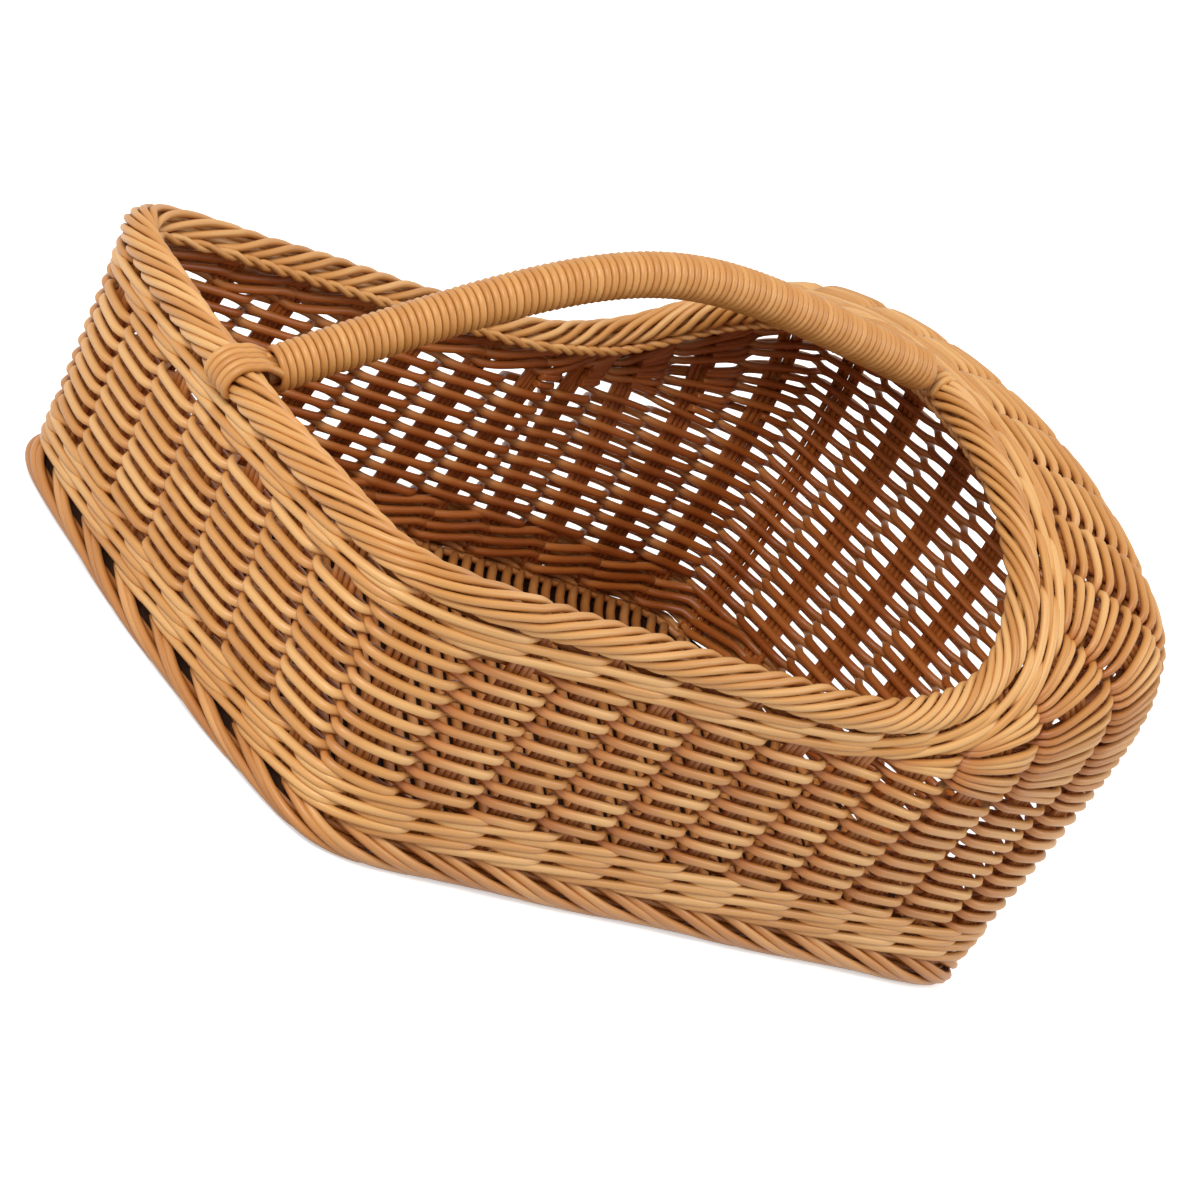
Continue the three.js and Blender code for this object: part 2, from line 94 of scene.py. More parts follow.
def base_edge(loop_distance):
    """Points on the base outline, and the outward directions, at distances round the loop."""
    loop_distance = np.mod(loop_distance, 2 * base_length)
    mirrored = loop_distance > base_length
    distance = np.where(mirrored, 2 * base_length - loop_distance, loop_distance)
    point = read_half(base_half, base_reach, distance)
    ahead = read_half(base_half, base_reach, np.minimum(distance + 1, base_length))
    behind = read_half(base_half, base_reach, np.maximum(distance - 1, 0))
    along = unit(ahead - behind)
    outward = np.stack([along[:, 1], -along[:, 0], 0 * distance], axis=1)
    flip = np.where(mirrored, -1, 1)
    point[:, 1] *= flip
    outward[:, 1] *= flip
    return point, outward


def colour(code):
    """Linear colour of an sRGB hex code."""
    channels = [int(code[i:i + 2], 16) / 255 for i in (1, 3, 5)]
    return [v / 12.92 if v <= 0.04045 else ((v + 0.055) / 1.055) ** 2.4 for v in channels] + [1]


def add_node(material, kind, settings=None, **inputs):
    """A shader node with its settings; each input is a constant or an output to link.

    An input goes by its name, or by its number as at_0, at_1 and so on.
    """
    node = material.node_tree.nodes.new(kind)
    for name, value in (settings or {}).items():
        setattr(node, name, value)
    for name, value in inputs.items():
        numbered = name.startswith("at_")
        socket = node.inputs[int(name[3:]) if numbered else name.replace("_", " ")]
        if isinstance(value, bpy.types.NodeSocket):
            material.node_tree.links.new(value, socket)
        else:
            socket.default_value = value
    return node


def new_material(name):
    material = bpy.data.materials.new(name)
    material.use_nodes = True
    material.node_tree.nodes.clear()
    return material


def set_ramp(ramp, stops):
    elements = ramp.color_ramp.elements
    while len(elements) < len(stops):
        elements.new(0.5)
    for element, (position, code) in zip(elements, stops):
        element.position = position
        element.color = colour(code)


# Dark stained fibreboard: almost black-brown, with a dull, slightly uneven sheen. The fibres
# are drawn about 4 mm long, coarser than the real ones so that they show
board_finish = new_material("dark_board")
grain = add_node(board_finish, "ShaderNodeTexCoord")
fibre = add_node(
    board_finish, "ShaderNodeTexNoise", Vector=grain.outputs["Object"], Scale=1 / (BOARD_FIBRE * MM),
    Detail=5.0)
stain = add_node(board_finish, "ShaderNodeValToRGB", Fac=fibre.outputs["Fac"])
set_ramp(stain, [(0.3, "#22130C"), (0.7, "#3A2417")])
dents = add_node(board_finish, "ShaderNodeBump", Height=fibre.outputs["Fac"], Strength=0.3, Distance=0.0004)
board_sheen = add_node(
    board_finish, "ShaderNodeBsdfPrincipled", Base_Color=stain.outputs["Color"], Roughness=0.7,
    Specular_IOR_Level=0.1, Normal=dents.outputs["Normal"])
add_node(board_finish, "ShaderNodeOutputMaterial", Surface=board_sheen.outputs["BSDF"])

base_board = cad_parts["base_board"]
base_board.data.materials.clear()
base_board.data.materials.append(board_finish)

edge_steps = np.linspace(0, 2 * base_length, BOARD_EDGE_POINTS, endpoint=False)
edge_points, edge_outward = base_edge(edge_steps)
# The edge slopes up from the flat of the board to its outer face; it lies lower along the sides
along_side = edge_outward[:, 1] ** 2
outer_inset = BOARD_EDGE_REACH + BOARD_EDGE_SIDE_SETBACK * along_side
outer_drop = BOARD_EDGE_SIDE_DROP * along_side
flat_inset = np.full(len(edge_steps), BOARD_FLAT_INSET)
corners = []
for inset, height in [
    (outer_inset, BOARD_EDGE_BOTTOM - outer_drop), (outer_inset, BOARD_EDGE_TOP - outer_drop),
    (flat_inset, BOARD_FLAT_TOP), (flat_inset, BOARD_FLAT_BOTTOM),
]:
    ring = edge_points - inset[:, None] * edge_outward
    ring[:, 2] = height
    corners.append(ring)
corners = np.stack(corners, axis=1).reshape(-1, 3)
faces = []
for i in range(len(edge_steps)):
    here, after = 4 * i, 4 * ((i + 1) % len(edge_steps))
    for j in range(4):
        k = (j + 1) % 4
        faces.append((here + j, after + j, after + k, here + k))
edge_mesh = bpy.data.meshes.new("board_edge")
edge_mesh.from_pydata((corners * MM).tolist(), [], faces)
edge_mesh.materials.append(board_finish)
board_edge = bpy.data.objects.new("board_edge", edge_mesh)
bpy.context.scene.collection.objects.link(board_edge)
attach(board_edge, "root")

# ---------------------------------------------------------------- Floor mat
# The floor is a row of strands laid slantwise side by side on the board, their ends tucked
# under the wall. The strand is round extruded synthetic rattan, about 4.2 mm thick.
STRAND_RADIUS = 2.1
STRAND_SIDES = 8
FLOOR_PITCH = 8.1
FLOOR_STRAND_RADIUS = 2.45
FLOOR_SLANT = 30
FLOOR_HEIGHT = 7.0
FLOOR_END_RISE = 4.5
FLOOR_RISE_RUN = 16
FLOOR_SWAY = 0.5
FLOOR_SWAY_LENGTH = 37
FLOOR_UNEVENNESS = 0.2
FLOOR_UNEVEN_LENGTH = 23
# Painted shade: the floor strands inside the basket are mostly browned
FLOOR_PAINTED_SHADE = 0.75
FLOOR_STEPS = 40
FLOOR_INSET = 12
FLOOR_END_GAP = 6
TONE_RANGE = (0.25, 0.75)
TONE_DRIFTS = ((0.12, 47), (0.1, 19))
ROUNDNESS_SHADE = 0.2
TIP_THINNESS = 0.1
LINE_LENGTH = 30.3
LINE_OFFSETS = 4000
PHASES = 6
random = np.random.default_rng(11)


def tube(points, out, radius=STRAND_RADIUS, lift=None, closed=False, taper=0.0, depth=0.2):
    """One strand: rings of points, with its tone, depth in the weave and grain coordinates.

    radius is the half thickness along out, lift the half thickness square to it.
    taper narrows both ends over that length. depth is 0 on the outer face of the
    basket and 1 on the inner face, and sets how much red-brown painted shade is mixed into the tan.
    """
    count = len(points)
    if closed:
        heading = np.roll(points, -1, axis=0) - np.roll(points, 1, axis=0)
    else:
        heading = np.gradient(points, axis=0)
    heading = unit(heading)
    side = unit(np.cross(heading, out))
    face = np.cross(side, heading)
    radius = np.broadcast_to(np.asarray(radius, float), (count,))
    lift = radius if lift is None else np.broadcast_to(np.asarray(lift, float), (count,))
    run = distances(points)
    if taper:
        ends = np.minimum(run, run[-1] - run) / taper
        narrow = np.sqrt(np.clip(TIP_THINNESS + (1 - TIP_THINNESS) * ends, 0, 1))
        radius, lift = radius * narrow, lift * narrow
    angle = 2 * np.pi * np.arange(STRAND_SIDES) / STRAND_SIDES
    rings = (points[:, None]
             + (radius[:, None] * np.cos(angle))[..., None] * face[:, None]
             + (lift[:, None] * np.sin(angle))[..., None] * side[:, None])
    drift = sum(size * np.sin(run / length + random.uniform(0, PHASES)) for size, length in TONE_DRIFTS)
    tone = random.uniform(*TONE_RANGE) + drift
    depth = np.broadcast_to(np.asarray(depth, float), (count,))[:, None]
    # Painted shade: the side of the strand turned away from out is browner, the side facing out paler
    depth = depth - ROUNDNESS_SHADE * np.cos(angle)
    grain = np.stack([
        np.broadcast_to((run + random.uniform(0, LINE_OFFSETS))[:, None], (count, STRAND_SIDES)),
        np.broadcast_to(STRAND_RADIUS * np.cos(angle), (count, STRAND_SIDES)),
        np.broadcast_to(STRAND_RADIUS * np.sin(angle), (count, STRAND_SIDES)),
    ], axis=-1)
    return rings, np.repeat(tone, STRAND_SIDES), np.clip(depth, 0, 1), grain, closed


def strand_piece(name, tubes, material, *nodes):
    """A mesh of many strands that stands for the named CAD nodes."""
    vertices, tones, depths, grains, quads, caps = [], [], [], [], [], []
    start = 0
    for rings, tone, depth, grain, closed in tubes:
        count = len(rings)
        spans = np.arange(count if closed else count - 1)
        here = start + STRAND_SIDES * spans[:, None] + np.arange(STRAND_SIDES)
        after = start + STRAND_SIDES * ((spans + 1) % count)[:, None] + np.arange(STRAND_SIDES)
        quads.append(np.stack(
            [here, np.roll(here, -1, axis=1), np.roll(after, -1, axis=1), after], axis=-1).reshape(-1, 4))
        if not closed:
            first = start + np.arange(STRAND_SIDES)
            caps += [first[::-1], first + STRAND_SIDES * (count - 1)]
        vertices.append(rings.reshape(-1, 3))
        tones.append(tone)
        depths.append(depth.ravel())
        grains.append(grain.reshape(-1, 3))
        start += STRAND_SIDES * count
    quads = np.concatenate(quads)
    loops = np.concatenate([quads.ravel()] + caps) if caps else quads.ravel()
    sizes = np.concatenate([np.full(len(quads), 4), np.full(len(caps), STRAND_SIDES)]).astype(np.int32)
    mesh = bpy.data.meshes.new(name)
    mesh.vertices.add(start)
    mesh.vertices.foreach_set("co", (np.concatenate(vertices) * MM).ravel().astype(np.float32))
    mesh.loops.add(len(loops))
    mesh.loops.foreach_set("vertex_index", loops.astype(np.int32))
    mesh.polygons.add(len(sizes))
    mesh.polygons.foreach_set("loop_start", (np.cumsum(sizes) - sizes).astype(np.int32))
    smooth = np.concatenate([np.ones(len(quads), bool), np.zeros(len(caps), bool)])
    mesh.polygons.foreach_set("use_smooth", smooth)
    mesh.update(calc_edges=True)
    for label, values in (("tone", tones), ("depth", depths)):
        mesh.attributes.new(label, "FLOAT", "POINT").data.foreach_set(
            "value", np.concatenate(values).astype(np.float32))
    mesh.attributes.new("grain", "FLOAT_VECTOR", "POINT").data.foreach_set(
        "vector", np.concatenate(grains).ravel().astype(np.float32))
    mesh.materials.append(material)
    piece = bpy.data.objects.new(name, mesh)
    bpy.context.scene.collection.objects.link(piece)
    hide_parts(*nodes)
    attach(piece, "root")


# Synthetic rattan: golden tan, each strand a little lighter or darker than the next, with fine lines
# along it and the soft gloss of extruded plastic. Red-brown painted shade is mixed in inside the basket
# and deep in the weave, and left out at painted highlights
rattan = new_material("synthetic_rattan")
strand_tone = add_node(rattan, "ShaderNodeAttribute", {"attribute_name": "tone"})
strand_grain = add_node(rattan, "ShaderNodeAttribute", {"attribute_name": "grain"})
# Fine lines: 30 mm long and 1 mm across, coarser than the real ones so that they show
lines_place = add_node(
    rattan, "ShaderNodeMapping", Vector=strand_grain.outputs["Vector"], Scale=(1 / LINE_LENGTH, 1.0, 1.0))
lines = add_node(rattan, "ShaderNodeTexNoise", Vector=lines_place.outputs["Vector"], Scale=1.0, Detail=3.0)
shade = add_node(
    rattan, "ShaderNodeMath", {"operation": "MULTIPLY_ADD"},
    at_0=lines.outputs["Fac"], at_1=0.5, at_2=strand_tone.outputs["Fac"])
tan = add_node(rattan, "ShaderNodeValToRGB", Fac=shade.outputs["Value"])
set_ramp(tan, [(0.35, "#BE8140"), (0.75, "#CD9350"), (1.0, "#DBA868")])
brown = add_node(rattan, "ShaderNodeValToRGB", Fac=shade.outputs["Value"])
set_ramp(brown, [(0.35, "#8E440E"), (0.75, "#A2541A"), (1.0, "#B26426")])
strand_depth = add_node(rattan, "ShaderNodeAttribute", {"attribute_name": "depth"})
# Painted shade: the depth attribute mixes the tan towards the red-brown
painted_shade_mix = add_node(
    rattan, "ShaderNodeMix", {"data_type": "RGBA"}, Factor=strand_depth.outputs["Fac"],
    at_6=tan.outputs["Color"], at_7=brown.outputs["Color"])
ridges = add_node(rattan, "ShaderNodeBump", Height=lines.outputs["Fac"], Strength=0.25, Distance=0.0003)
rattan_gloss = add_node(
    rattan, "ShaderNodeBsdfPrincipled", Base_Color=painted_shade_mix.outputs[2], Roughness=0.42,
    Normal=ridges.outputs["Normal"])
add_node(rattan, "ShaderNodeOutputMaterial", Surface=rattan_gloss.outputs["BSDF"])

up = np.array([0.0, 0.0, 1.0])
floor_edge = edge_points - FLOOR_INSET * edge_outward
slant = np.radians(FLOOR_SLANT)
strand_way = np.array([np.sin(slant), np.cos(slant), 0])
across_way = np.array([np.cos(slant), -np.sin(slant), 0])
edge_across = floor_edge @ across_way
edge_along = floor_edge @ strand_way
floor_reach = edge_across.max() - FLOOR_END_GAP
floor_strands = int(2 * floor_reach / FLOOR_PITCH)
floor_tubes = []
for i in range(floor_strands):
    place = (i - (floor_strands - 1) / 2) * FLOOR_PITCH
    crossing = np.flatnonzero((edge_across < place) != (np.roll(edge_across, -1) < place))
    ends = np.sort(edge_along[crossing])
    run = np.linspace(ends[0], ends[-1], FLOOR_STEPS)
    sway = FLOOR_SWAY * np.sin(run / FLOOR_SWAY_LENGTH + random.uniform(0, PHASES))
    from_end = np.minimum(run - run[0], run[-1] - run)
    rise = FLOOR_END_RISE * np.clip(1 - from_end / FLOOR_RISE_RUN, 0, 1) ** 2
    height = FLOOR_HEIGHT + rise + FLOOR_UNEVENNESS * np.sin(run / FLOOR_UNEVEN_LENGTH + place)
    points = (place + sway)[:, None] * across_way + run[:, None] * strand_way + height[:, None] * up
    upward = np.broadcast_to(up, points.shape)
    floor_tubes.append(tube(points, upward, FLOOR_STRAND_RADIUS, depth=FLOOR_PAINTED_SHADE))
strand_piece("floor_strands", floor_tubes, rattan, "floor_mat")

# ---------------------------------------------------------------- Foot border
# The rolled edge the basket stands on. At each stake a pair of strands comes out above the
# board, bends over its edge and runs on along the roll, until it is tucked in underneath.
STAKES = 36
STAKE_CROWDING = 0.05
FOOT_CENTRE_INSET = 8
FOOT_CENTRE_HEIGHT = 7.7
FOOT_ROLL = 5.2
FOOT_RUN = 2.6
FOOT_STEPS = 34
FOOT_APART = 0.12
FOOT_SIDE_APART = 0.06
FOOT_START_ANGLE = 118
FOOT_TURN = 182
FOOT_TURN_EASING = 2.1
FOOT_SIDE_BULGE = 1.6
FOOT_UNEVENNESS = 0.4
FOOT_JITTER = 0.02
FOOT_TIP = 9
# Painted shade: the foot border strands are half browned, the cores inside the roll more
FOOT_PAINTED_SHADE = 0.5
FOOT_CORES = [(8.5, 7.0), (10.5, 2.7), (10.0, 10.8)]
FOOT_CORE_PAINTED_SHADE = 0.8
FOOT_CORE_STEPS = 400


def stake_distance(stake):
    """Distance round the base to a place counted in stakes, from the middle of the heel."""
    stake = np.mod(stake, STAKES)
    mirrored = stake > STAKES / 2
    share = np.where(mirrored, STAKES - stake, stake) / (STAKES / 2)
    distance = base_length * (share - STAKE_CROWDING * share * (1 - share))
    return np.where(mirrored, 2 * base_length - distance, distance)


foot_tubes = []
for i in range(2 * STAKES):
    along_side = np.abs(base_edge(stake_distance(np.array([i / 2])))[1][0, 1])
    apart = FOOT_APART + FOOT_SIDE_APART * along_side
    first = i // 2 + (-apart if i % 2 == 0 else apart) + random.normal(0, FOOT_JITTER)
    share = np.linspace(0, 1, FOOT_STEPS)
    edge, outward = base_edge(stake_distance(first + FOOT_RUN * share))
    turn = np.radians(FOOT_START_ANGLE - FOOT_TURN * (1 - (1 - share) ** FOOT_TURN_EASING))
    bulge = FOOT_SIDE_BULGE * along_side * (1 - share) ** 2
    roll = FOOT_ROLL + FOOT_UNEVENNESS * np.sin(share * np.pi + i) + bulge
    direction = np.cos(turn)[:, None] * outward + np.sin(turn)[:, None] * up
    centre = edge - FOOT_CENTRE_INSET * outward + FOOT_CENTRE_HEIGHT * up
    points = centre + roll[:, None] * direction
    foot_tubes.append(tube(points, direction, taper=FOOT_TIP, depth=FOOT_PAINTED_SHADE))
# The strands inside the roll, which run right round, each at its inset and height
loop = np.linspace(0, 2 * base_length, FOOT_CORE_STEPS, endpoint=False)
edge, outward = base_edge(loop)
for inset, height in FOOT_CORES:
    core = edge - inset * outward + height * up
    upward = np.broadcast_to(up, core.shape)
    foot_tubes.append(tube(core, upward, closed=True, depth=FOOT_CORE_PAINTED_SHADE))
strand_piece("foot_border_strands", foot_tubes, rattan, "foot_border")

# ---------------------------------------------------------------- Stakes
# Each stake is a flat group of four thin rods set into the board. They rise through the
# weave; at the toe they bend over to form the hood, and all of them end in the rim.
RIM_BACK_X = -238
RIM_FRONT_X = 105
RIM_HEEL_NARROWING = 14
RIM_TOE_FLARE = 1
RIM_SQUARENESS = 10
RIM_HEEL_BOW = 12
RIM_ARCH_BOW = 10
RIM_HEIGHT = 127
ARCH_HEIGHT = 228
SIDE_START_X = -172
HINGE_X = 37
HINGE_LEAN = 18
WALL_INSET = 8
WALL_FOOT = 14.2
HOOD_FOOT_SWELL = 13
HOOD_SHOULDER_RISE = 1.1
HOOD_SHOULDER_REACH = 88
HOOD_FULL_SHARE = 0.6
ROD_RADIUS = 1.7
ROD_PITCH = 3.35
ROD_PLACES = (-1.5, -0.5, 0.5, 1.5)
ROD_END_GAP = 4
ROD_SWAY = 0.25
ROD_SWAY_LENGTH = 31
# Painted shade: the rods, in shade between the weavers, are browned
ROD_PAINTED_SHADE = 0.9
ROD_STEPS = 60
COLUMNS = 12
LEVELS = 97

c, s = square_oval(half_turn, RIM_SQUARENESS)
taper = (1 + c) / 2
rim_half = np.stack([
    (RIM_FRONT_X + RIM_BACK_X) / 2 + (RIM_FRONT_X - RIM_BACK_X) / 2 * c
    + np.where(c < 0, -RIM_HEEL_BOW, RIM_ARCH_BOW) * (1 - s * s),
    (BASE_HALF_WIDTH - RIM_HEEL_NARROWING * (1 - taper) + RIM_TOE_FLARE * taper) * s,
    RIM_HEIGHT + np.where(c > 0, (ARCH_HEIGHT - RIM_HEIGHT) * np.sqrt(np.clip(1 - s * s, 0, 1)), 0),
], axis=1)
rim_reach = distances(rim_half)
corner = len(half_turn) // 4


def mark(points, reach, x):
    return np.interp(x, points[corner:, 0], reach[corner:])


base_marks = [0, base_reach[corner], mark(base_half, base_reach, SIDE_START_X),
              mark(base_half, base_reach, HINGE_X - HINGE_LEAN), base_length]
rim_marks = [0, rim_reach[corner], mark(rim_half, rim_reach, SIDE_START_X),
             mark(rim_half, rim_reach, HINGE_X), rim_reach[-1]]


def wall_profiles(stake):
    """Wall profiles from foot to rim, evenly stepped, at places counted in stakes."""
    loop_distance = stake_distance(stake)
    mirrored = loop_distance > base_length
    distance = np.where(mirrored, 2 * base_length - loop_distance, loop_distance)
    edge, outward = base_edge(distance)
    foot = edge - WALL_INSET * outward + WALL_FOOT * up
    rim = read_half(rim_half, rim_reach, np.interp(distance, base_marks, rim_marks))
    toe_share = np.clip((distance - base_marks[3]) / (base_length - base_marks[3]), 0, 1)
    full = np.clip(toe_share / HOOD_FULL_SHARE, 0, 1)
    full = (full * full * (3 - 2 * full))[:, None]
    away = unit((foot - [HINGE_X, 0, 0]) * [1, 1, 0])
    swollen = foot + HOOD_FOOT_SWELL * away
    swollen[:, 2] = WALL_FOOT + (rim[:, 2] - WALL_FOOT) * HOOD_SHOULDER_RISE
    shoulder = rim + HOOD_SHOULDER_REACH * away
    lower = (foot + (rim - foot) / 3) * (1 - full) + swollen * full
    upper = (foot + (rim - foot) * 2 / 3) * (1 - full) + shoulder * full
    t = np.linspace(0, 1, LEVELS)[None, :, None]
    curve = ((1 - t) ** 3 * foot[:, None] + 3 * (1 - t) ** 2 * t * lower[:, None]
             + 3 * (1 - t) * t * t * upper[:, None] + t ** 3 * rim[:, None])
    even = np.empty_like(curve)
    for i, points in enumerate(curve):
        reach = distances(points)
        even[i] = read_half(points, reach, np.linspace(0, reach[-1], LEVELS))
    even[..., 1] *= np.where(mirrored, -1, 1)[:, None]
    return even


# The wall as a grid of points and outward normals, a dozen columns to a stake
column_stake = np.arange(STAKES * COLUMNS) / COLUMNS
wall = wall_profiles(column_stake)
wall_height = np.linalg.norm(np.diff(wall, axis=1), axis=2).sum(axis=1)
round_wall = np.roll(wall, -1, axis=0) - np.roll(wall, 1, axis=0)
wall_normal = unit(np.cross(round_wall, np.gradient(wall, axis=1)))


def on_wall(columns, climb):
    """Points and normals of the wall at distances up the given columns."""
    level = np.clip(climb / wall_height[columns], 0, 1) * (LEVELS - 1)
    low = np.minimum(level.astype(int), LEVELS - 2)
    part = (level - low)[:, None]
    point = wall[columns, low] * (1 - part) + wall[columns, low + 1] * part
    normal = unit(wall_normal[columns, low] * (1 - part) + wall_normal[columns, low + 1] * part)
    return point, normal


rod_tubes = []
for i in range(STAKES):
    column = i * COLUMNS
    columns = np.full(ROD_STEPS, column)
    climb = np.linspace(0, wall_height[column] - ROD_END_GAP, ROD_STEPS)
    point, normal = on_wall(columns, climb)
    along = unit(np.cross(np.gradient(point, axis=0), normal))
    for j in ROD_PLACES:
        sway = ROD_SWAY * np.sin(climb / ROD_SWAY_LENGTH + random.uniform(0, PHASES))
        shift = (ROD_PITCH * j + sway)[:, None] * along
        rod_tubes.append(tube(point + shift, normal, ROD_RADIUS, depth=ROD_PAINTED_SHADE))
strand_piece("stake_rods", rod_tubes, rattan, *[f"stake_{i:02d}" for i in range(1, STAKES + 1)])

# ---------------------------------------------------------------- Bottom wale
# Three rounds of three-strand wale lock the stakes above the board: each strand passes
# outside two stakes and inside one, and climbs over the strand before it.
WALE_STRANDS = 3
WALE_SWING = 4.3
WALE_CLIMB = 6.8
WALE_BEND = 3
WALE_OUTSIDE_BIAS = 0.35
WALE_RISE_SHARE = 0.74
WALE_OVERLAP = 1.2
WALE_UNEVENNESS = 0.3
WALE_UNEVEN_RATE = 1.7
BOTTOM_WALE_LEVELS = (5.0, 11.4, 17.8)
# Painted shade: the brown mix at the wall's middle, and how far it swings between outside and inside passes
MIDDLE_PAINTED_SHADE = 0.5
PASS_PAINTED_SHADE = 0.4


def wale_round(climb_at, steep=WALE_CLIMB):
    """One round of three-strand wale round the whole wall."""
    columns = np.arange(STAKES * COLUMNS)
    strands = []
    for j in range(WALE_STRANDS):
        phase = np.mod((column_stake - j) / WALE_STRANDS, 1)
        outside = np.tanh(WALE_BEND * (np.cos(2 * np.pi * (phase - 1 / 3)) + WALE_OUTSIDE_BIAS))
        falling = (1 - phase) / (1 - WALE_RISE_SHARE)
        rise = np.where(phase < WALE_RISE_SHARE, phase / WALE_RISE_SHARE, falling) - 0.5
        uneven = WALE_UNEVENNESS * np.sin(column_stake * WALE_UNEVEN_RATE + random.uniform(0, PHASES))
        point, normal = on_wall(columns, climb_at + steep * rise + uneven)
        offset = WALE_SWING * outside + WALE_OVERLAP * rise
        # Painted shade: browner where the strand passes inside
        depth = MIDDLE_PAINTED_SHADE - PASS_PAINTED_SHADE * offset / WALE_SWING
        strands.append(tube(point + offset[:, None] * normal, normal, closed=True, depth=depth))
    return strands


bottom_tubes = []
for level in BOTTOM_WALE_LEVELS:
    bottom_tubes += wale_round(level)
strand_piece("bottom_wale_strands", bottom_tubes, rattan, "bottom_wale")

# ---------------------------------------------------------------- Siding
# Plain weave round the whole basket: every row passes outside one stake and inside the
# next, and the row above does the opposite, so that open windows stay beside each stake.
SIDING_START = 36
SIDING_TOP = 106.5
ROW_PITCH = 3.78
WEAVE_SWING = 4.2
WEAVE_BEND = 3.3
ROW_HALF_WIDTH = 1.95
ROW_FLATTENING = 0.25
ROW_SLOW_WAVE = 0.35
ROW_SLOW_RATE = 0.9
ROW_QUICK_WAVE = 0.2
ROW_QUICK_RATE = 2.3
# Painted highlight at the +X end of each outside pass, and painted shade along the near and far walls
LIT_END_SHADE = 0.45
SIDE_SHADE = 0.15


def weave_offset(stake, row):
    """How far a row passes from the middle of the wall, out at one stake and in at the next."""
    return WEAVE_SWING * np.tanh(WEAVE_BEND * np.cos(np.pi * (stake + row))) / np.tanh(WEAVE_BEND)


def row_tube(columns, climb, row, closed, half_width=ROW_HALF_WIDTH):
    """One row of weaver: painted highlight at one end of each outside pass, painted shade inside."""
    stake = column_stake[columns]
    climb = climb + ROW_SLOW_WAVE * np.sin(stake * ROW_SLOW_RATE + random.uniform(0, PHASES))
    climb = climb + ROW_QUICK_WAVE * np.sin(stake * ROW_QUICK_RATE + row)
    point, normal = on_wall(columns, climb)
    offset = weave_offset(stake, row)
    lift = half_width + ROW_FLATTENING * np.abs(offset) / WEAVE_SWING
    lengthwise = unit(round_wall[columns, LEVELS // 3])[:, 0]
    lit_end = np.sin(np.pi * (stake + row)) * lengthwise
    # Painted shade on inside passes and along the near and far walls; painted highlight towards +X
    depth = MIDDLE_PAINTED_SHADE - PASS_PAINTED_SHADE * offset / WEAVE_SWING
    depth = depth - LIT_END_SHADE * lit_end + SIDE_SHADE * lengthwise ** 2
    return tube(point + offset[:, None] * normal, normal, STRAND_RADIUS, lift, closed, depth=depth)


def climb_to(height):
    """Distance up each column at which the wall first reaches a height."""
    steps = np.linspace(0, 1, LEVELS)
    rising = np.maximum.accumulate(wall[..., 2], axis=1)
    return np.array([np.interp(height, z, steps) for z in rising]) * wall_height


all_columns = np.arange(STAKES * COLUMNS)
siding_tubes = []
siding_heights = np.arange(SIDING_START, SIDING_TOP, ROW_PITCH)
for row, height in enumerate(siding_heights):
    siding_tubes.append(row_tube(all_columns, climb_to(height), row, True))
strand_piece("siding_weavers", siding_tubes, rattan, *[f"siding_band_{i}" for i in range(1, 6)])

# ---------------------------------------------------------------- Hood weavers
# Rows that fan out from the two hinges over the toe. They go in pairs, out and back; the
# short pairs turn round a stake on the way, so the rows stay close together at the hinges.
TOP_WALE_DEPTH = 20
HOOD_CROWDING = 0.84
HOOD_HALF_WIDTH = 1.62
HOOD_LEAST_SHARE = 0.35
EASING_REACH = 3 * COLUMNS
EASING_WIDTH = 1.1 * COLUMNS

hood_start = climb_to(siding_heights[-1]) + ROW_PITCH / 2
hood_depth = np.clip(wall_height - TOP_WALE_DEPTH - hood_start, 0, None)
hood_pairs = int(hood_depth.max() / (2 * ROW_PITCH))
room = hood_depth / (2 * ROW_PITCH * HOOD_CROWDING)
# Each pair's turn to drop out, from its number's bits read backwards: the longest pairs are
# spread evenly through the fan
spread = [int(format(i, "05b")[::-1], 2) for i in range(32)]
rank = np.argsort(np.argsort([spread[i] for i in range(hood_pairs)]))
share = np.clip((room[None, :] - rank[:, None]) / 2, 0, 1)
share = share * share * (3 - 2 * share)
filled = np.cumsum(share, axis=0)
hooded = np.flatnonzero(hood_depth > ROW_PITCH)
spacing = np.arange(-EASING_REACH, EASING_REACH + 1)
easing = np.exp(-0.5 * (spacing / EASING_WIDTH) ** 2)


def eased(values):
    """The run of a row over the hood, smoothed so that it bends round a short pair's end."""
    padded = np.pad(values[hooded], EASING_REACH, mode="edge")
    smooth = values.copy()
    smooth[hooded] = np.convolve(padded, easing / easing.sum(), mode="valid")
    return smooth


hood_tubes = []
for pair in range(hood_pairs):
    present = np.flatnonzero(share[pair] > HOOD_LEAST_SHARE)
    if len(present) < 2 * COLUMNS:
        continue
    for j in (0, 1):
        row = len(siding_heights) + j
        # Each row starts and ends where it passes inside a stake, so that its ends are hidden
        inside = [c for c in hooded if c % COLUMNS == 0 and (c // COLUMNS + row) % 2 == 1]
        first = max([c for c in inside if c <= present.min() + COLUMNS / 2], default=inside[0])
        last = min([c for c in inside if c >= present.max() - COLUMNS / 2], default=inside[-1])
        columns = np.arange(first, last + 1)
        place = (filled[pair] + share[pair] * (0.5 * j - 0.75)) / np.maximum(filled[-1], 0.01)
        climb = hood_start[columns] + eased(place)[columns] * hood_depth[columns]
        hood_tubes.append(row_tube(columns, climb, row, False, HOOD_HALF_WIDTH))
strand_piece("hood_weavers", hood_tubes, rattan, *[f"hood_band_{i}" for i in range(1, 5)])

